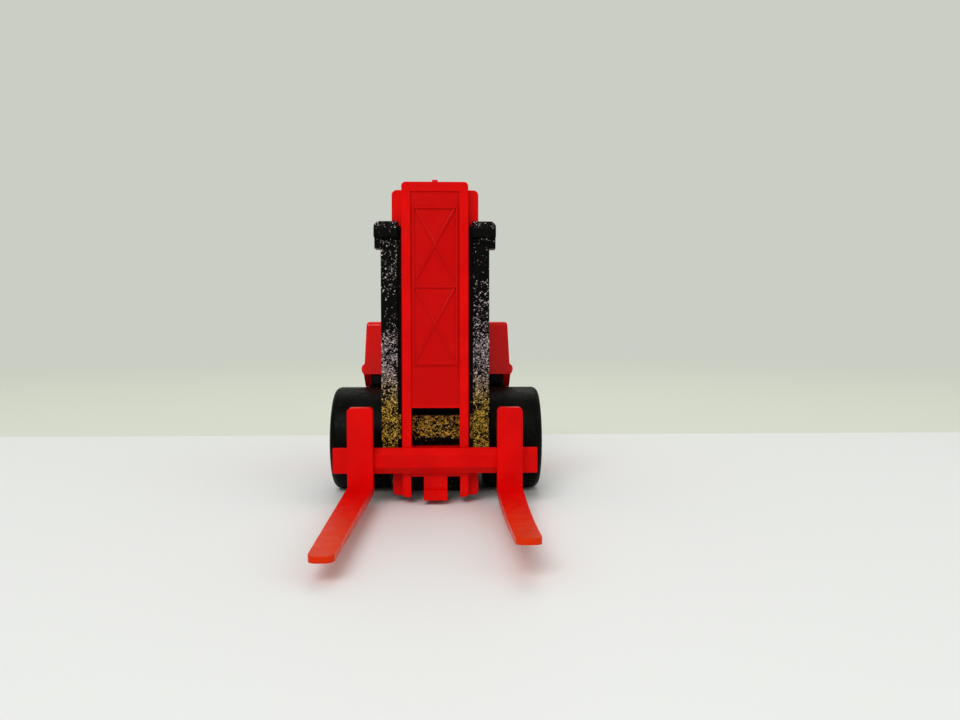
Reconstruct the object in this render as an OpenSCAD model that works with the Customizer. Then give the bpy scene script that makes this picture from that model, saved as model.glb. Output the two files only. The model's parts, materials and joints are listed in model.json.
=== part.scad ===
// Pocket toy forklift: cast body, plastic base, sliding fork carriage in a tilting mast.
// Millimetres, +Z up, forks point along -Y, so the driver's left is +X.
// The origin is on the ground under the middle.

/* [Layout] */
// Distance from the front axle forward to the fork tips
fork_reach = 40; // [36:0.5:44]
// Distance from the front axle back to the tail
tail_reach = 27; // [27:0.5:29]
// Distance between the two axles
wheelbase = 21; // [20.5:0.1:21.5]

/* [Wheels] */
// Diameter of the front wheels
front_wheel_d = 13.3; // [12.8:0.1:13.4]
// Width of the front wheels
front_wheel_w = 7.4; // [6.5:0.1:7.4]
// Distance from the middle to the outer faces of the front wheels
front_wheel_out = 13.4; // [13.4:0.1:14]
// Diameter of the rear wheels
rear_wheel_d = 9.6; // [9:0.1:10]
// Width of the rear wheels
rear_wheel_w = 4.6; // [4:0.1:4.6]
// Distance from the middle to the outer faces of the rear wheels
rear_wheel_out = 10.2; // [10.2:0.1:10.6]
// Diameter of the steel axles
axle_d = 1.6; // [1.4:0.1:1.8]
// Radial clearance of a turning or sliding fit
fit = 0.05; // [0.03:0.01:0.08]

/* [Body] */
// Half width of the body at its top
body_top = 9.5; // [9.4:0.1:9.6]
// Half width of the body at the lip along its sides
body_lip = 10.3; // [10.2:0.1:10.6]
// Height of the cowl and of the body
body_h = 22; // [21.5:0.1:22.5]
// Height of the lower edge of the cowl
cowl_edge = 14.9; // [14.7:0.05:15.1]
// Wall thickness of the casting
wall = 0.9; // [0.8:0.05:1]

/* [Mast] */
// Half width over the two mast rails
mast_out = 6.5; // [6.4:0.05:6.6]
// Half width between the two mast rails
mast_in = 4.15; // [4.1:0.05:4.3]
// Height of the mast
mast_h = 34; // [32:0.5:36]
// Front face of the rails, measured forward from the front axle
mast_front = 10; // [10:0.05:10.1]
// Back face of the rails, measured forward from the front axle
mast_back = 7.2; // [7.2:0.05:7.4]

/* [Fork carriage] */
// Half width of the carriage plate
plate_half = 3.97; // [3.8:0.01:4]
// Height of the top of the carriage plate
plate_top = 38.6; // [36:0.1:40]
// Half width of the flange that slides in the rails
flange_half = 5.2; // [5:0.05:5.25]
// Half width of the crossbar that carries the forks
bar_half = 12.25; // [11.5:0.05:13]
// Inner edge of each fork, from the middle
fork_in = 7.35; // [7:0.05:7.5]
// Width of each fork at its heel
fork_w = 3; // [2.8:0.05:3.3]
// Height of the load face of the forks
fork_top = 2.5; // [2.2:0.1:3]
// How far the tip of the left fork is bent up
fork_rise = 1.4; // [0:0.1:1.6]
// How far the tip of the left fork leans inwards
fork_lean = 0.4; // [0:0.1:0.6]

/* [Hidden] */
$fn = 64;
eps = 0.01;

paint_red = "#c00c10";
plastic_red = "#e0201a";
black = "#151515";
steel = "#b8babd";
hub_grey = "#c9c5b8";

frame_y = (fork_reach - tail_reach) / 2;
front_r = front_wheel_d / 2;
rear_r = rear_wheel_d / 2;

// Body levels, in the frame of the front axle
cowl_y = 2;
floor_z = 12.6;
hood_z = 18;
sill_z = 4.2;
arch_front_r = front_r + 0.85;
arch_rear_r = rear_r + 0.75;
skin_half = body_top - 0.5;
boss_places = [10, 17];
rivet_r = 0.9;

// Base levels
pan_z = 2.8;
pan_t = 1;
fender_r = front_r + 0.6;
fender_t = 0.6;
fender_foot = 13.9;
pan_half = skin_half - 0.1;
front_hub_r = 3.7;
rear_hub_r = 2.7;
tail_half = 5.2;
nose_half = 3.7;

// Mast rails, heads and pivot
rail_foot = 4.3;
head_out = mast_out + 0.75;
pivot_y = -3.4;
pivot_z = 5;
pivot_r = 0.6;
lug_r = 1.5;
lug_in = nose_half + 0.25;
lug_out = 5.25;

// Carriage depths, measured forward from the front axle
plate_front = 10.5;
flange_front = 9.3;
flange_back = 8.3;
bar_front = 11.2;
ridge_front = 11.75;
bar_bottom = 4.1;
bar_top = 6.9;
shank_front = 12.6;
shank_back = 11.1;
shank_top = 11.9;
comb_z = 0.85;
window_half = 2.92;
window_top = 11.65;
panel_top = 37.5;
panel_depth = 0.15;
groove = 0.12;

// Seat and steering
seat_half = 3.5;
column_foot = [0, 3.5, body_h - 1];
column_lean = 38;
column_l = 3.7;
column_r = 0.45;
steer_r = 2.05;

// Height of the hood at a distance behind the front axle
function hood_at(y) = hood_z + (y - 13) / 12;

// Points of an arc, from angle a to angle b
function arc(x, y, r, a, b, n = 6) =
    [for (i = [0:n]) let (t = a + (b - a) * i / n) [x + r * cos(t), y + r * sin(t)]];

// Puts a piece drawn round the front axle's ground point into the row's frame
module place() translate([0, frame_y, 0]) children();

// The steering column's own axis, starting at its foot
module on_column() translate(column_foot) rotate([-column_lean, 0, 0]) children();

// A box from its low to its high corner
module block(low, high) translate(low) cube(high - low);

// The same piece on both sides
module both_sides() {
    children();
    mirror([1, 0, 0]) children();
}

// An outline of (y, z) points, extruded across the middle
module side_slab(points, half) {
    translate([-half, 0, 0]) rotate([90, 0, 90]) linear_extrude(2 * half) polygon(points);
}

// A flat outline of (x, z), extruded from y = back forward by depth
module front_slab(back, depth) translate([0, back, 0]) rotate([90, 0, 0]) linear_extrude(depth) children();

// A round bar along X
module cross_rod(r, from, to, y, z) translate([from, y, z]) rotate([0, 90, 0]) cylinder(r = r, h = to - from);

// A rectangle with round corners, standing on z = low
module round_rect(half, low, high, r) {
    translate([-half + r, low]) square([2 * (half - r), high - low]);
    translate([-half, low + r]) square([2 * half, high - low - 2 * r]);
    for (x = [-half + r, half - r], z = [low + r, high - r]) translate([x, z]) circle(r);
}

// Outline of the body from the side
module body_side() {
    side_slab(concat(
        [[cowl_y, cowl_edge]],
        arc(cowl_y + 0.7, body_h - 0.7, 0.7, 180, 90),
        arc(5.2, body_h - 0.9, 0.9, 90, 20),
        [[7, floor_z + 2]],
        arc(7.8, floor_z + 0.8, 0.8, 180, 270),
        arc(11.2, floor_z + 0.8, 0.8, 270, 360),
        [[12.2, hood_z - 0.9]],
        arc(13.1, hood_z - 0.8, 0.8, 170, 95),
        [[19, hood_z + 0.5]],
        arc(21.4, 20.3, 1.3, 150, 80),
        arc(tail_reach - 3.2, 18.1, 3.2, 75, 0, 8),
        arc(tail_reach - 2, sill_z + 2, 2, 0, -90),
        [[cowl_y + 0.9, sill_z]]
    ), 12);
}

// Cross-section of the body, with the lip along both sides
module body_section() {
    half = concat(
        arc(body_top - 0.45, body_h - 0.45, 0.45, 90, 0),
        [[body_top + 0.3, 16.35], [body_lip - 0.1, 15.95], [body_lip, 15.6], [body_lip - 0.15, 15.15],
         [body_top + 0.42, cowl_edge - 0.05], [body_top + 0.15, sill_z + 4], [body_top - 0.1, sill_z]]
    );
    back = [for (i = [len(half) - 1:-1:0]) [-half[i][0], half[i][1]]];
    front_slab(tail_reach + 1, tail_reach + 2) polygon(concat(half, back));
}

// Outline of the body from above
module body_plan() {
    tail_r = 3.4;
    nose_r = 0.5;
    half = concat(
        arc(body_lip - tail_r, tail_reach - tail_r, tail_r, 90, 0, 10),
        arc(body_lip - nose_r, cowl_y + nose_r, nose_r, 0, -90)
    );
    back = [for (i = [len(half) - 1:-1:0]) [-half[i][0], half[i][1]]];
    linear_extrude(body_h + 1) polygon(concat(half, back));
}

// Hollow inside of the casting, open below
module body_hollow() {
    side_slab([
        [cowl_y + wall, 0], [cowl_y + wall, body_h - wall - 0.5], [cowl_y + wall + 0.5, body_h - wall],
        [5, body_h - wall], [5.3, body_h - wall - 0.3], [6.1, floor_z + 2], [6.1, floor_z - wall],
        [12, floor_z - wall], [13, hood_z - 1.1], [19.6, hood_z - 0.5], [20.8, 20], [21.6, 20.6],
        [tail_reach - 3, 20], [tail_reach - wall - 0.1, 17.8], [tail_reach - wall - 0.1, 0]
    ], skin_half);
}

// Recessed bars of the rear grille and the hood vents
module body_slots() {
    for (i = [0:4]) {
        low = 10.2 + 1.5 * i;
        block([-4.6, tail_reach - 0.4, low], [4.6, tail_reach + 1, low + 0.7]);
    }
    both_sides() for (i = [0:3]) {
        y = 14.4 + 1.1 * i;
        block([4.6, y, hood_z - 0.05], [7.6, y + 0.5, hood_z + 2]);
    }
}

module body_shell() color(paint_red) place() {
    difference() {
        union() {
            difference() {
                intersection() {
                    body_side();
                    body_section();
                    body_plan();
                }
                body_hollow();
            }
            for (y = boss_places) translate([0, y, pan_z + pan_t]) {
                cylinder(r = 1.9, h = (y < 12 ? floor_z : hood_z) - pan_z - pan_t - 0.4);
            }
            block([-2.4, tail_reach - 3.4, sill_z + 0.6], [2.4, tail_reach - wall, 10.4]);
        }
        block([-skin_half, 0, 0], [skin_half, cowl_y + 2 * wall, cowl_edge]);
        side_slab([[0, cowl_edge], [cowl_y, cowl_edge],
                   [cowl_y + 1.6, cowl_edge - 1.8], [0, cowl_edge - 1.8]], 12);
        cross_rod(arch_front_r, -12, 12, 0, front_r);
        cross_rod(arch_rear_r, -12, -tail_half, wheelbase, rear_r);
        cross_rod(arch_rear_r, tail_half, 12, wheelbase, rear_r);
        for (y = boss_places) translate([0, y, 0]) cylinder(r = rivet_r + 0.02, h = 9);
        block([-1.4, tail_reach - 1.9, 6.3], [1.4, tail_reach + 1, 8.7]);
        translate([0, tail_reach - 1.1, 5.4]) cylinder(r = 0.52, h = 4.2);
        on_column() cylinder(r = column_r + 0.02, h = 2.5);
        body_slots();
    }
}

// Round fender over the front wheels, joined to the floor pan
module base_fender() {
    intersection() {
        difference() {
            cross_rod(fender_r + fender_t, -pan_half, pan_half, 0, front_r);
            cross_rod(fender_r, -12, 12, 0, front_r);
        }
        block([-pan_half, cowl_y + 0.2, pan_z], [pan_half, 9, cowl_edge - 0.3]);
    }
}

module base_plate() color(black) place() {
    difference() {
        union() {
            base_fender();
            block([-pan_half, cowl_y + 0.2, fender_foot], [pan_half, 4.4, cowl_edge - 0.12]);
            block([-pan_half, 7.1, pan_z], [pan_half, 14.6, pan_z + pan_t]);
            block([-tail_half + 0.2, 14.5, pan_z], [tail_half - 0.2, tail_reach - 1.4, pan_z + pan_t]);
            block([-nose_half, -2.6, pan_z], [nose_half, 8, 10]);
            block([-nose_half, pivot_y, pivot_z - lug_r], [nose_half, -2.5, pivot_z + lug_r]);
            cross_rod(lug_r, -nose_half, nose_half, pivot_y, pivot_z);
            block([-5.6, -5.2, 9.4], [5.6, 3.2, 13.5]);
            block([-tail_half + 0.2, wheelbase - 1.8, pan_z], [tail_half - 0.2, wheelbase + 1.8, 6.6]);
        }
        cross_rod(axle_d / 2 + fit, -12, 12, 0, front_r);
        cross_rod(axle_d / 2 + fit, -12, 12, wheelbase, rear_r);
        cross_rod(pivot_r + 0.02, -12, 12, pivot_y, pivot_z);
        for (y = boss_places) translate([0, y, 0]) {
            cylinder(r = rivet_r + 0.02, h = 5);
            cylinder(r = 1.55, h = pan_z + 0.35);
        }
    }
}

module base_rivets() color(steel) place() {
    for (y = boss_places) translate([0, y, pan_z + 0.05]) {
        cylinder(r = rivet_r, h = 5.4);
        cylinder(r = 1.5, h = 0.28);
    }
}

module driver_seat() color(black) place() {
    low = 0.02;
    difference() {
        side_slab(concat(
            [[13.2, hood_at(13.2) + low]], arc(13.7, 19.3, 0.5, 180, 90), [[16.8, 19.5], [17.2, 20]],
            arc(18, 25, 0.55, 170, 10), [[19, 20.4], [18.9, hood_at(18.9) + low]]
        ), seat_half);
        block([-2.7, 13.9, 19.35], [2.7, 16.4, 21]);
    }
}

module steering_column() color(black) place() on_column() cylinder(r = column_r, h = column_l + 0.3);

module steering_wheel() color(black) place() on_column() translate([0, 0, column_l]) {
    rotate_extrude() translate([steer_r, 0]) circle(0.3);
    difference() {
        union() {
            translate([0, 0, -0.35]) cylinder(r = 0.75, h = 0.8);
            for (a = [90, 210, 330]) rotate(a) block([0.5, -0.22, -0.2], [steer_r, 0.22, 0.15]);
        }
        translate([0, 0, -1]) cylinder(r = column_r + 0.02, h = 2);
    }
}

module tow_pin() color(steel) place() {
    translate([0, tail_reach - 1.1, 5.45]) cylinder(r = 0.5, h = 4.05);
}

// An axle with a headed end on each side, just outside the hubs' bosses
module axle(y, z, out) {
    head = 0.35;
    cross_rod(axle_d / 2, -out, out, y, z);
    both_sides() cross_rod(axle_d / 2 + 0.35, out - head, out, y, z);
}

module front_axle() color(steel) place() axle(0, front_r, front_wheel_out - 0.35);

module rear_axle() color(steel) place() axle(wheelbase, rear_r, rear_wheel_out - 0.3);

// A tyre: a ring with rounded shoulders, its outer face at z = 0
module tyre(r, w, hub_r) {
    rim = 0.13 * r;
    rotate_extrude() polygon(concat(
        [[hub_r, -w], [hub_r, -0.25], [hub_r + 0.25, 0]],
        arc(r - rim, -rim, rim, 90, 0),
        arc(r - rim, -w + rim, rim, 0, -90)
    ));
}

// A hub: a dished disc with a boss and five ribs, behind the tyre's outer face
module hub(r, w) {
    bore = axle_d / 2 + fit;
    boss = bore + 0.75;
    dish = 1.5;
    rotate_extrude() polygon([
        [bore, -w + 0.2], [r, -w + 0.2], [r, -0.45], [r - 0.45, -0.45], [r - 0.75, -dish],
        [boss, -dish], [boss - 0.1, -0.85], [bore, -0.85]
    ]);
    for (a = [18:72:330]) rotate(a) block([boss - 0.1, -0.28, -dish - 0.1], [r - 0.5, 0.28, -0.8]);
}

// Moves a wheel piece to its axle; side is 1 for left (+X) and -1 for right
module at_wheel(side, y, z, out) {
    translate([side * out, y, z]) rotate([0, 90 * side, 0]) children();
}

module front_tyre(side) color(black) place()
    at_wheel(side, 0, front_r, front_wheel_out) tyre(front_r, front_wheel_w, front_hub_r);

module rear_tyre(side) color(black) place()
    at_wheel(side, wheelbase, rear_r, rear_wheel_out) tyre(rear_r, rear_wheel_w, rear_hub_r);

module front_hub(side) color(hub_grey) place()
    at_wheel(side, 0, front_r, front_wheel_out) hub(front_hub_r - 0.02, front_wheel_w);

module rear_hub(side) color(hub_grey) place()
    at_wheel(side, wheelbase, rear_r, rear_wheel_out) hub(rear_hub_r - 0.02, rear_wheel_w);

// One rail: a channel that holds the carriage flange, with its head and pivot lug
module rail() {
    head_low = mast_h - 1.95;
    difference() {
        block([mast_in, -mast_front, rail_foot], [mast_out, -mast_back, mast_h - 0.5]);
        block([mast_in - 1, -flange_front - groove, 0], [flange_half + 0.15, -flange_back + groove, mast_h + 1]);
        block([mast_in - 1, -mast_front - 1, 0], [mast_in + 0.38, -mast_front + 0.3, mast_h + 1]);
    }
    difference() {
        side_slab([[-mast_front - 0.85, head_low], [-mast_front - 0.85, mast_h - 0.9],
                   [-mast_front - 0.15, mast_h], [-mast_back, mast_h], [-mast_back, head_low]], head_out);
        block([-20, -20, 0], [mast_in + 0.3, 20, mast_h + 1]);
        block([0, -flange_front - groove, 0], [flange_half + 0.15, -flange_back + groove, mast_h + 1]);
        translate([head_out, 0, mast_h]) rotate([0, 45, 0]) cube([0.6, 40, 0.6], center = true);
    }
    block([mast_out - 0.1, -mast_front + 0.1, head_low - 1.25], [head_out, -mast_back - 0.3, head_low + 0.1]);
    side_slab_from(lug_in, lug_out, [
        [-mast_back - 0.2, rail_foot], [-mast_back - 0.2, 9.6], [pivot_y - 0.6, pivot_z + lug_r - 0.15],
        [pivot_y - 0.6, pivot_z - lug_r + 0.15]
    ]);
    cross_rod(lug_r, lug_in, lug_out, pivot_y, pivot_z);
}

// A (y, z) outline, extruded from x = from to x = to
module side_slab_from(from, to, points) {
    translate([from, 0, 0]) rotate([90, 0, 90]) linear_extrude(to - from) polygon(points);
}

module mast_frame() color(black) place() {
    difference() {
        union() {
            both_sides() rail();
            block([-mast_in - 0.2, -flange_back + groove, 7.3], [mast_in + 0.2, -mast_back + 0.2, 10.5]);
            block([-mast_in - 0.2, -flange_back + 0.4, comb_z + 0.2],
                  [mast_in + 0.2, -mast_back + 0.2, 7.4]);
            block([-mast_in - 0.2, -flange_back + groove, 20], [mast_in + 0.2, -mast_back, 22]);
            block([-mast_in - 0.5, -flange_back + groove, mast_h - 2.4], [mast_in + 0.5, -mast_back, mast_h]);
        }
        cross_rod(pivot_r + fit, -12, 12, pivot_y, pivot_z);
    }
}

module mast_pivot_pin() color(steel) place()
    cross_rod(pivot_r, -lug_out - 0.15, lug_out + 0.15, pivot_y, pivot_z);

// A raised line in the sunk panel of the carriage plate, from one (x, z) point to another
module relief(from, to, w = 0.26) {
    run = to - from;
    front_slab(-plate_front + panel_depth + 0.05, panel_depth + 0.04) translate(from) rotate(atan2(run[1], run[0]))
        translate([0, -w / 2]) square([norm(run), w]);
}

// The lattice on the plate's sunk panel: two braced fields inside a border
module plate_relief() {
    x = 2.6;
    both_sides() relief([x, 16.9], [x, 35.6]);
    for (z = [16.9, 26.2, 35.6]) relief([-x, z], [x, z]);
    for (panel = [[17.6, 26], [27.1, 35.4]]) {
        relief([-x + 0.3, panel[0]], [x - 0.3, panel[1]]);
        relief([-x + 0.3, panel[1]], [x - 0.3, panel[0]]);
    }
}

// Plate and flange with the window and the comb of feet below the crossbar
module carriage_plate() {
    difference() {
        union() {
            front_slab(-flange_front + eps, plate_front - flange_front + eps)
                round_rect(plate_half, comb_z, plate_top, 0.5);
            front_slab(-flange_back, flange_front - flange_back) round_rect(flange_half, comb_z, plate_top - 0.8, 0.6);
        }
        block([-window_half, -20, bar_top - 0.1], [window_half, 0, window_top]);
        block([-window_half, -20, window_top - 0.1], [window_half, -plate_front + panel_depth, panel_top]);
        both_sides() block([1.42, -20, 0], [2.97, 0, 3.36]);
    }
    block([-1.42, -plate_front - 0.75, comb_z - 0.25], [1.42, -plate_front + 0.1, 1.8]);
    block([-0.33, -plate_front + 0.15, plate_top - 0.1], [0.33, -flange_front - 0.15, plate_top + 0.25]);
}

// Crossbar: a flat bar, with a bevelled ridge along its front between the forks
module crossbar() {
    low = bar_bottom - 0.25;
    side_slab([[-plate_front + 0.1, low], [-bar_front + 0.15, low], [-bar_front, low + 0.2],
               [-bar_front, bar_top - 0.15], [-bar_front + 0.15, bar_top], [-plate_front + 0.1, bar_top]], bar_half);
    side_slab([[-bar_front + 0.1, low + 0.1], [-ridge_front, low + 0.85], [-ridge_front, bar_top - 0.75],
               [-bar_front + 0.1, bar_top - 0.1]], fork_in + 0.2);
}

// One fork: an upright shank, a heel and a blade that narrows to a round tip
module fork(rise, lean) {
    tip_w = 2.3;
    tip_r = 0.85;
    mid = fork_in + fork_w / 2 + 0.1 - lean;
    steps = 10;
    start = 17;
    run = fork_reach - start;
    thick = 1.05;
    taper = 0.45;
    upper = [for (i = [0:steps]) let (t = i / steps) [-start - run * t, fork_top + rise * t * t]];
    lower = [for (i = [steps:-1:0]) let (t = i / steps)
        [-start - run * t, fork_top - thick + rise * t * t + taper * t]];
    intersection() {
        side_slab_from(fork_in - 0.8, fork_in + fork_w + 0.5, concat([[-shank_front, fork_top]], upper, lower,
            arc(-shank_front + 1.1, fork_top - thick + 0.9, 0.9, 250, 340), [[-shank_back, fork_top + 1]]));
        translate([0, 0, -1]) linear_extrude(9) union() {
            polygon([[fork_in, -shank_back + 0.5], [fork_in + fork_w, -shank_back + 0.5],
                     [mid + tip_w / 2, -fork_reach + tip_r], [mid - tip_w / 2, -fork_reach + tip_r]]);
            translate([mid - tip_w / 2 + tip_r, -fork_reach]) square([tip_w - 2 * tip_r, 2 * tip_r]);
            for (x = [mid - tip_w / 2 + tip_r, mid + tip_w / 2 - tip_r]) {
                translate([x, -fork_reach + tip_r]) circle(tip_r);
            }
        }
    }
    front_slab(-shank_back, shank_front - shank_back) translate([fork_in + fork_w / 2, 0])
        round_rect(fork_w / 2, fork_top - thick + 0.6, shank_top, 0.5);
}

module fork_carriage() color(plastic_red) place() {
    carriage_plate();
    plate_relief();
    crossbar();
    fork(fork_rise, fork_lean);
    mirror([1, 0, 0]) fork(0, -0.1);
}

module tyre_front_left() front_tyre(1);
module tyre_front_right() front_tyre(-1);
module tyre_rear_left() rear_tyre(1);
module tyre_rear_right() rear_tyre(-1);
module hub_front_left() front_hub(1);
module hub_front_right() front_hub(-1);
module hub_rear_left() rear_hub(1);
module hub_rear_right() rear_hub(-1);

body_shell();
base_plate();
base_rivets();
driver_seat();
steering_column();
steering_wheel();
tow_pin();
front_axle();
rear_axle();
tyre_front_left();
tyre_front_right();
tyre_rear_left();
tyre_rear_right();
hub_front_left();
hub_front_right();
hub_rear_left();
hub_rear_right();
mast_frame();
mast_pivot_pin();
fork_carriage();
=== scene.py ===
"""The looks of the pocket toy forklift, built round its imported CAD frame.

Lengths are in metres, with MM for millimetre sizes. Inside a material they are in millimetres.
The forks point along -Y and +Z is up.
"""

import json
import math

import bmesh
import bpy
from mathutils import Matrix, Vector


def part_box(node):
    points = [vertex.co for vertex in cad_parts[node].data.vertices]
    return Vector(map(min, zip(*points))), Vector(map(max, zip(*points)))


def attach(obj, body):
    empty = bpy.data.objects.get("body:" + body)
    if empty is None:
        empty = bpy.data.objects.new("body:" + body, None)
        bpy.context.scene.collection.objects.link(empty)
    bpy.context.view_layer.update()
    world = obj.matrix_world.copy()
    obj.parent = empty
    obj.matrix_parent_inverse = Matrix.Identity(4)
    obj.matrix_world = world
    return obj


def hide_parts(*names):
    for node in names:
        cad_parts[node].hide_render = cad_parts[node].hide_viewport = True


MM = 0.001
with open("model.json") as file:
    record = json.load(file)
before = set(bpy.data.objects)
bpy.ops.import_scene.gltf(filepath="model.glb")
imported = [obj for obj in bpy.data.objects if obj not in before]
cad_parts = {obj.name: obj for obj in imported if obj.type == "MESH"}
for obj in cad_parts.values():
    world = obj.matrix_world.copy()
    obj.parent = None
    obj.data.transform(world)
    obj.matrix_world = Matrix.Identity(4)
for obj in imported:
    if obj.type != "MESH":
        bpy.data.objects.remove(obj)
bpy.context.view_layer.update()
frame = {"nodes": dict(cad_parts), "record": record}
nodes = frame["nodes"]


# ---------------------------------------------------------------- shader helpers

class Material:
    """A material whose nodes are added one call at a time. Sizes in it are in millimetres."""

    def __init__(self, name, **sockets):
        self.material = bpy.data.materials.new(name)
        self.material.use_nodes = True
        self.tree = self.material.node_tree
        self.shader = self.tree.nodes["Principled BSDF"]
        for socket, value in sockets.items():
            self.shader.inputs[socket.replace("_", " ")].default_value = value
        place = self.add("ShaderNodeTexCoord").outputs["Object"]
        self.mm = self.scaled(place, (1 / MM,) * 3)

    def add(self, kind, inputs=None, **settings):
        """Adds a node; an input is a value or another node's output."""
        made = self.tree.nodes.new(kind)
        for name, value in settings.items():
            setattr(made, name, value)
        for socket, value in (inputs or {}).items():
            self.set(made.inputs[socket], value)
        return made

    def set(self, socket, value):
        if isinstance(value, bpy.types.NodeSocket):
            self.tree.links.new(value, socket)
        else:
            socket.default_value = value

    def scaled(self, vector, factors):
        return self.add("ShaderNodeVectorMath", operation="MULTIPLY", inputs={0: vector, 1: factors}).outputs[0]

    def axes(self):
        """Distance across, along and up from the origin in millimetres."""
        return self.add("ShaderNodeSeparateXYZ", inputs={0: self.mm}).outputs[:3]

    def noise(self, size, detail=3.0, roughness=0.5, stretch=(1, 1, 1)):
        """Noise from 0 to 1 whose blobs are about size millimetres across."""
        made = self.add("ShaderNodeTexNoise", inputs={
            "Vector": self.scaled(self.mm, stretch), "Scale": 1 / size,
            "Detail": detail, "Roughness": roughness})
        return made.outputs["Fac"]

    def ramp(self, value, low, high, to_low=0.0, to_high=1.0):
        """Maps value from low..high to to_low..to_high, smoothly and clamped."""
        made = self.add("ShaderNodeMapRange", interpolation_type="SMOOTHSTEP", inputs={
            "Value": value, "From Min": low, "From Max": high, "To Min": to_low, "To Max": to_high})
        return made.outputs["Result"]

    def spread(self, noise, to_low=0.0, to_high=1.0):
        """Maps the middle of a noise, where nearly all of it lies, to to_low..to_high."""
        return self.ramp(noise, 0.3, 0.7, to_low, to_high)

    def math(self, operation, a, b=0.0):
        return self.add("ShaderNodeMath", operation=operation, inputs={0: a, 1: b}).outputs[0]

    def product(self, first, *others):
        for other in others:
            first = self.math("MULTIPLY", first, other)
        return first

    def within(self, value, rise, fall):
        """1 between two edges and 0 outside; each edge is a pair, from where it is 0 to where it is 1."""
        return self.product(self.ramp(value, *rise), self.ramp(value, *fall))

    def mix(self, factor, a, b):
        """A colour between a and b."""
        made = self.add("ShaderNodeMix", data_type="RGBA")
        self.set(made.inputs[0], factor)
        self.set(made.inputs[6], a)
        self.set(made.inputs[7], b)
        return made.outputs[2]

    def clouded(self, noise, dark, light):
        """A colour that drifts between dark and light, with rather more of the dark."""
        return self.mix(self.ramp(noise, 0.35, 0.7), dark, light)

    def colour(self, value):
        self.set(self.shader.inputs["Base Color"], value)

    def rough(self, value):
        self.set(self.shader.inputs["Roughness"], value)

    def bump(self, height, depth):
        """Raises the surface by height (0 to 1) times depth millimetres."""
        made = self.add("ShaderNodeBump", inputs={"Strength": 1.0, "Distance": depth * MM, "Height": height})
        self.set(self.shader.inputs["Normal"], made.outputs["Normal"])


def rgb(r, g, b):
    return (r, g, b, 1.0)


# ---------------------------------------------------------------- materials
# A pair of numbers is an edge, from where it starts to where it ends, in millimetres.

SCRATCH_STRETCHES = ((0.25, 1.0, 6.0), (5.0, 1.0, 0.35))    # across the plate, and up it
SCRATCH_WIDTH = 0.004                                       # as a share of the noise's range


def scratches(m, amount):
    """Thin lines in two directions, from 0 to amount."""
    lines = 0.0
    for stretch in SCRATCH_STRETCHES:
        streak = m.noise(1.6, 2.0, 0.6, stretch)
        line = m.ramp(m.math("ABSOLUTE", m.math("SUBTRACT", streak, 0.5)), 0.0, SCRATCH_WIDTH, 1.0, 0.0)
        lines = m.math("MAXIMUM", lines, line)
    patch = m.ramp(m.noise(3.5, 2.0), 0.5, 0.68)
    return m.product(lines, patch, amount)


# Edges of the plate's sunk panel, which is darkened with painted shade.
PANEL_SIDE = (3.0, 2.85)        # either side of the middle
PANEL_BOTTOM = (11.6, 12.4)
PANEL_TOP = (37.6, 37.3)
PANEL_FRONT = (-3.0, -3.3)      # keeps the plate's back out
FORK_TIP_GLOW = (-9.0, -32.0)      # from the shank to the tip


def red_plastic():
    """Red plastic with painted shade darkening the plate's sunk panel and a painted orange glow of light
    through the plastic toward the fork tips.
    """
    m = Material("red_plastic", Subsurface_Weight=0.12, Subsurface_Radius=(1.0, 0.10, 0.03),
                 Subsurface_Scale=0.0006, Specular_IOR_Level=0.14)
    base = m.clouded(m.noise(4.5), rgb(0.64, 0.0004, 0.0002), rgb(0.74, 0.0012, 0.0004))
    x, y, z = m.axes()
    # painted shade: a mask over the sunk panel on the plate's front, where shade falls in the recess
    panel_shade = m.product(m.ramp(m.math("ABSOLUTE", x), *PANEL_SIDE), m.within(z, PANEL_BOTTOM, PANEL_TOP),
                      m.ramp(y, *PANEL_FRONT))
    # the darker red of the painted shade in the sunk panel
    base = m.mix(panel_shade, base, rgb(0.57, 0.0003, 0.0002))
    # painted glow: the blades turn orange toward their tips, standing in for light shining through the plastic
    base = m.mix(m.ramp(y, *FORK_TIP_GLOW, 0.0, 0.75), base, rgb(0.66, 0.048, 0.001))
    marks = scratches(m, 0.3)
    m.colour(m.mix(marks, base, rgb(0.95, 0.14, 0.05)))
    m.rough(m.math("ADD", m.spread(m.noise(1.1, 4.0), 0.28, 0.44), m.product(marks, 0.2)))
    m.bump(m.math("ADD", m.noise(0.16, 4.0, 0.65), m.product(m.noise(1.9, 2.0), 1.6)), 0.012)
    return m.material


def red_paint():
    """Glossy red paint on a casting, with a few small chips."""
    m = Material("red_paint", Coat_Weight=0.3, Coat_Roughness=0.06, Specular_IOR_Level=0.15)
    base = m.clouded(m.noise(6.0, 2.0), rgb(0.68, 0.0004, 0.0006), rgb(0.78, 0.001, 0.001))
    chip = m.ramp(m.noise(0.55, 6.0, 0.6), 0.735, 0.75)
    m.colour(m.mix(chip, base, rgb(0.10, 0.09, 0.09)))
    m.rough(m.math("ADD", m.spread(m.noise(2.5, 4.0), 0.16, 0.30), m.product(chip, 0.3)))
    m.bump(m.math("ADD", m.noise(0.9), m.product(chip, -1.5)), 0.014)
    return m.material


GRAINS_PER_MM = 6.8
RAIL_SIDE = (4.50, 4.56)                        # the face of a rail starts here, past its rebate
WORN_LESS = (18.0, 24.0)                        # above this height the rails keep more of their paint
HELD_PAINT = (23.0, 29.0)                       # height of a darker band on the left and on the right rail
CROSSMEMBER = ((7.5, 8.1), (10.9, 10.7))        # bottom and top of the worn part
PLAIN_HEAD = ((31.9, 32.1), (33.3, 33.1))       # bottom and top of the band that isn't worn
GOLDEN_BELOW = (11.0, 17.0)                     # the grains turn from golden to pale grey here


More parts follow.
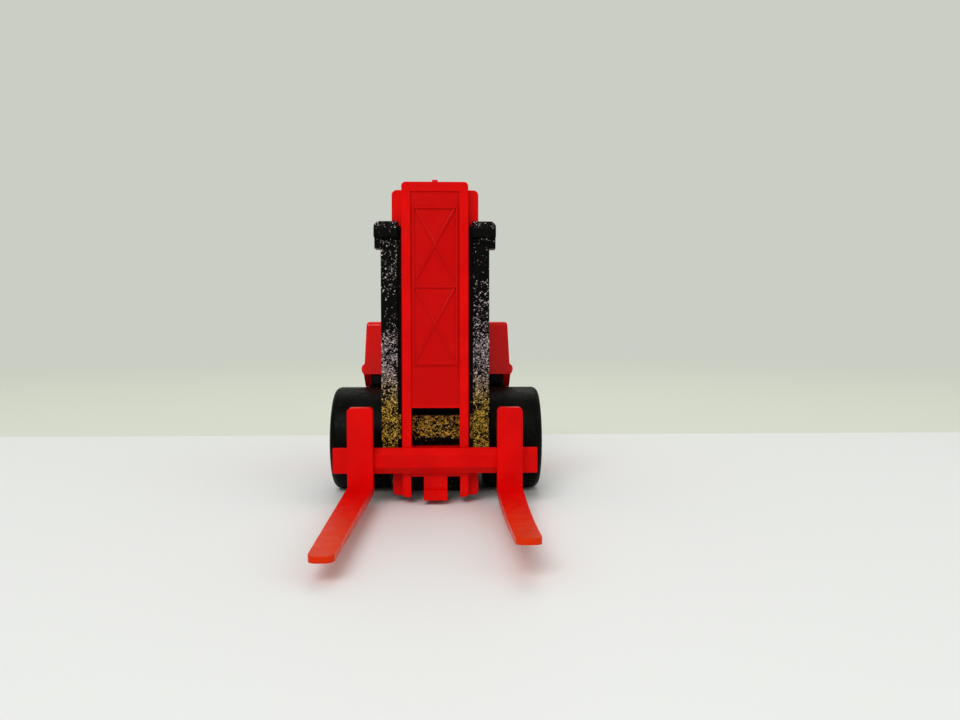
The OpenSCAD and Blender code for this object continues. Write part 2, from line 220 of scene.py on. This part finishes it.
def mast_black():
    """Black paint worn through in fine grains on the front: few at the top, golden near the bottom."""
    m = Material("mast_black", Roughness=0.5, IOR=1.45, Specular_IOR_Level=0.12)
    x, _, z = m.axes()
    grain = m.add("ShaderNodeTexVoronoi", inputs={"Vector": m.mm, "Scale": GRAINS_PER_MM})
    chance, shade, _ = m.add("ShaderNodeSeparateColor", inputs={0: grain.outputs["Color"]}).outputs
    normal = m.add("ShaderNodeTexCoord").outputs["Normal"]
    facing = m.add("ShaderNodeSeparateXYZ", inputs={0: normal}).outputs["Y"]
    front = m.ramp(facing, -0.3, -0.9, 0.12, 1.0)
    from_band = m.math("ABSOLUTE", m.math("SUBTRACT", z, m.ramp(x, -1.0, 1.0, *HELD_PAINT)))
    worn = m.product(m.ramp(z, *WORN_LESS, 0.66, 0.20), m.ramp(from_band, 1.0, 4.0, 0.22, 1.0))
    rails = m.ramp(m.math("ABSOLUTE", x), *RAIL_SIDE)
    head = m.math("SUBTRACT", 1.0, m.within(z, *PLAIN_HEAD))
    where = m.product(m.math("MAXIMUM", rails, m.within(z, *CROSSMEMBER)), head)
    patch = m.ramp(m.noise(1.0, 4.0, 0.7), 0.34, 0.62, 0.35, 1.15)
    density = m.product(worn, patch, front, where)
    speck = m.ramp(m.math("ADD", chance, density), 0.97, 1.03)
    height = m.ramp(z, *GOLDEN_BELOW)
    pale = m.mix(height, rgb(0.72, 0.50, 0.10), rgb(0.62, 0.52, 0.54))
    dull = m.mix(height, rgb(0.11, 0.075, 0.008), rgb(0.06, 0.05, 0.05))
    bright = m.math("POWER", shade, 1.6)
    m.colour(m.mix(speck, rgb(0.002, 0.002, 0.002), m.mix(bright, dull, pale)))
    m.rough(m.ramp(speck, 0.0, 1.0, 0.42, 0.62))
    m.bump(m.math("SUBTRACT", m.noise(0.14), speck), 0.010)
    return m.material


def black_plastic():
    m = Material("black_plastic", Specular_IOR_Level=0.15)
    m.colour(m.clouded(m.noise(2.4), rgb(0.003, 0.003, 0.003), rgb(0.008, 0.008, 0.008)))
    m.rough(m.spread(m.noise(0.8, 4.0), 0.42, 0.62))
    m.bump(m.noise(0.12, 4.0, 0.65), 0.010)
    return m.material


def tyre():
    """Black tyre plastic with a little fine dust."""
    m = Material("tyre", Specular_IOR_Level=0.09)
    dust = m.ramp(m.noise(0.7, 6.0, 0.7), 0.56, 0.78, 0.0, 0.14)
    base = m.clouded(m.noise(3.0), rgb(0.0015, 0.0015, 0.0012), rgb(0.005, 0.005, 0.004))
    m.colour(m.mix(dust, base, rgb(0.16, 0.17, 0.13)))
    m.rough(m.spread(m.noise(0.6, 4.0), 0.34, 0.52))
    m.bump(m.noise(0.18, 4.0, 0.6), 0.010)
    return m.material


def hub():
    m = Material("hub", IOR=1.48)
    m.colour(m.mix(m.spread(m.noise(1.6)), rgb(0.50, 0.48, 0.42), rgb(0.62, 0.60, 0.54)))
    m.rough(m.spread(m.noise(0.7, 4.0), 0.30, 0.45))
    m.bump(m.noise(0.15, 4.0), 0.008)
    return m.material


DRAWN_ALONG_X = (0.3, 3.0, 3.0)


def steel():
    """Wire with fine lines along its length."""
    m = Material("steel", Metallic=1.0)
    m.colour(m.mix(m.spread(m.noise(0.8, 4.0)), rgb(0.48, 0.48, 0.50), rgb(0.66, 0.66, 0.68)))
    m.rough(m.spread(m.noise(0.5, 4.0, 0.6, DRAWN_ALONG_X), 0.24, 0.42))
    m.bump(m.noise(0.1, 3.0, 0.5, DRAWN_ALONG_X), 0.004)
    return m.material


MATERIALS = {make.__name__: make() for make in
             (red_plastic, red_paint, mast_black, black_plastic, tyre, hub, steel)}
SLOT_OF = {part["node"]: part["material_slot"] for part in frame["record"]["subparts"]}
BODY_OF = {node: body for body, members in frame["record"]["behaviour"]["bodies"].items() for node in members}


# ---------------------------------------------------------------- pieces

WELD = 0.0005 * MM
FLAT_ANGLE = math.radians(0.4)
HARD_ANGLE = math.radians(28)
SHARP_ANGLE = math.radians(40)


def clean_mesh(node):
    """The CAD node's surface as a welded bmesh with its flat faces joined up into convex ones."""
    bm = bmesh.new()
    bm.from_mesh(nodes[node].data)
    for layer in list(bm.loops.layers.uv.values()):
        bm.loops.layers.uv.remove(layer)
    bmesh.ops.remove_doubles(bm, verts=bm.verts, dist=WELD)
    bmesh.ops.dissolve_limit(bm, angle_limit=FLAT_ANGLE, verts=bm.verts, edges=bm.edges)
    bmesh.ops.connect_verts_concave(bm, faces=[face for face in bm.faces if len(face.verts) > 4])
    return bm


def softened(node, radius, skip=None):
    """A copy of a CAD node whose hard edges are rounded as a mould or a die leaves them."""
    bm = clean_mesh(node)
    hard = [e for e in bm.edges if len(e.link_faces) == 2
            and e.calc_face_angle(0) > HARD_ANGLE
            and not (skip and skip(e))]
    bmesh.ops.bevel(bm, geom=hard, offset=radius, offset_type="OFFSET", segments=2, profile=0.5,
                    affect="EDGES", clamp_overlap=True, miter_outer="ARC")
    bmesh.ops.recalc_face_normals(bm, faces=bm.faces)
    mesh = bpy.data.meshes.new(node + "_finish")
    bm.to_mesh(mesh)
    bm.free()
    for face in mesh.polygons:
        face.use_smooth = True
    mesh.set_sharp_from_angle(angle=SHARP_ANGLE)
    piece = bpy.data.objects.new(node + "_finish", mesh)
    bpy.context.scene.collection.objects.link(piece)
    even = piece.modifiers.new("even_shading", "WEIGHTED_NORMAL")
    even.keep_sharp = True
    even.weight = 100
    piece.data.materials.append(MATERIALS[SLOT_OF[node]])
    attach(piece, BODY_OF[node])
    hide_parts(node)
    return piece


RELIEF_SIDE = 2.8 * MM
RELIEF_BOTTOM = 15.5 * MM
RELIEF_TOP = 35.6 * MM
RELIEF_BACK = 1 * MM            # behind the front of the mast


def in_relief(edge):
    """True for an edge of the fine raised lines on the carriage plate, which stay as crisp as they are."""
    mast_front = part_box("mast_frame")[0].y
    middle = (edge.verts[0].co + edge.verts[1].co) / 2
    return (abs(middle.x) < RELIEF_SIDE and RELIEF_BOTTOM < middle.z < RELIEF_TOP
            and middle.y < mast_front + RELIEF_BACK)


# Radius in millimetres of the rounded edges. The other nodes keep the shape that they have in the CAD.
EDGE = {"body_shell": 0.22, "base_plate": 0.12, "driver_seat": 0.25, "mast_frame": 0.14, "fork_carriage": 0.16,
        "hub_front_left": 0.08, "hub_front_right": 0.08, "hub_rear_left": 0.07, "hub_rear_right": 0.07}
for name, radius in EDGE.items():
    softened(name, radius * MM, skip=in_relief if name == "fork_carriage" else None)

for name, cad in nodes.items():
    cad.data.materials.clear()
    cad.data.materials.append(MATERIALS[SLOT_OF[name]])


# ---------------------------------------------------------------- stage, light and camera

STUDIO = rgb(0.72, 0.745, 0.68)
STUDIO_LIGHT = 0.72
FLOOR_SIZE = 6
SHEET_END = (53.6, 54.4)        # millimetres behind the origin
STUDIO_FADE = (90.0, 500.0)     # millimetres from the origin

# Name, place, the point that it is aimed at, width and power.
LAMPS = (
    ("key", (-0.16, -0.42, 0.42), (0, 0, 0.015), 0.35, 1.3),
    ("fill", (0.40, -0.25, 0.30), (0, 0, 0.02), 0.35, 0.25),
    ("back", (0.05, 0.35, 0.50), (0, 0, 0.02), 0.40, 0.45),
)

CAMERA_ASIDE = 2.1 * MM         # to the right of the toy's middle
CAMERA_AHEAD = 106.4 * MM       # in front of the front axle
CAMERA_HEIGHT = 22.35 * MM
CAMERA_DOWN = 2.93              # degrees below level
CAMERA_TURN = 1.95              # degrees to the right


def stage_material():
    """A pale sheet, a little greener past the line behind the toy, that fades into the studio."""
    m = Material("stage", Roughness=0.6)
    _, y, _ = m.axes()
    m.colour(m.mix(m.ramp(y, *SHEET_END), rgb(0.80, 0.80, 0.82), rgb(0.70, 0.72, 0.65)))
    far = m.add("ShaderNodeVectorMath", operation="LENGTH", inputs={0: m.mm}).outputs["Value"]
    glow = m.add("ShaderNodeEmission", inputs={"Color": STUDIO, "Strength": STUDIO_LIGHT})
    blend = m.add("ShaderNodeMixShader", inputs={
        0: m.ramp(far, *STUDIO_FADE), 1: m.shader.outputs[0], 2: glow.outputs[0]})
    m.tree.links.new(blend.outputs[0], m.tree.nodes["Material Output"].inputs["Surface"])
    return m.material


def floor():
    bpy.ops.mesh.primitive_plane_add(size=FLOOR_SIZE)
    made = bpy.context.object
    made.name = "floor"
    made.data.materials.append(stage_material())


def lamp(name, place, aim, width, power):
    data = bpy.data.lights.new(name, "AREA")
    data.shape = "DISK"
    data.size = width
    data.energy = power
    made = bpy.data.objects.new(name, data)
    made.location = place
    made.rotation_euler = (Vector(aim) - Vector(place)).to_track_quat("-Z", "Y").to_euler()
    bpy.context.scene.collection.objects.link(made)


def lights():
    for settings in LAMPS:
        lamp(*settings)
    world = bpy.data.worlds.new("studio")
    world.use_nodes = True
    sky = world.node_tree.nodes["Background"].inputs
    sky["Color"].default_value = STUDIO
    sky["Strength"].default_value = STUDIO_LIGHT
    bpy.context.scene.world = world


def camera():
    """A phone held low in front of the toy, turned a little right and down."""
    axle = (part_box("front_axle")[0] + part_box("front_axle")[1]) / 2
    data = bpy.data.cameras.new("camera")
    data.sensor_width = 36
    data.lens = 30
    data.clip_start = 0.005
    data.clip_end = 20
    made = bpy.data.objects.new("camera", data)
    made.location = (CAMERA_ASIDE, axle.y - CAMERA_AHEAD, CAMERA_HEIGHT)
    made.rotation_euler = (math.radians(90 - CAMERA_DOWN), 0, math.radians(-CAMERA_TURN))
    bpy.context.scene.collection.objects.link(made)
    bpy.context.scene.camera = made


floor()
lights()
camera()
bpy.context.scene.view_settings.view_transform = "Standard"
bpy.context.scene.view_settings.look = "Medium High Contrast"
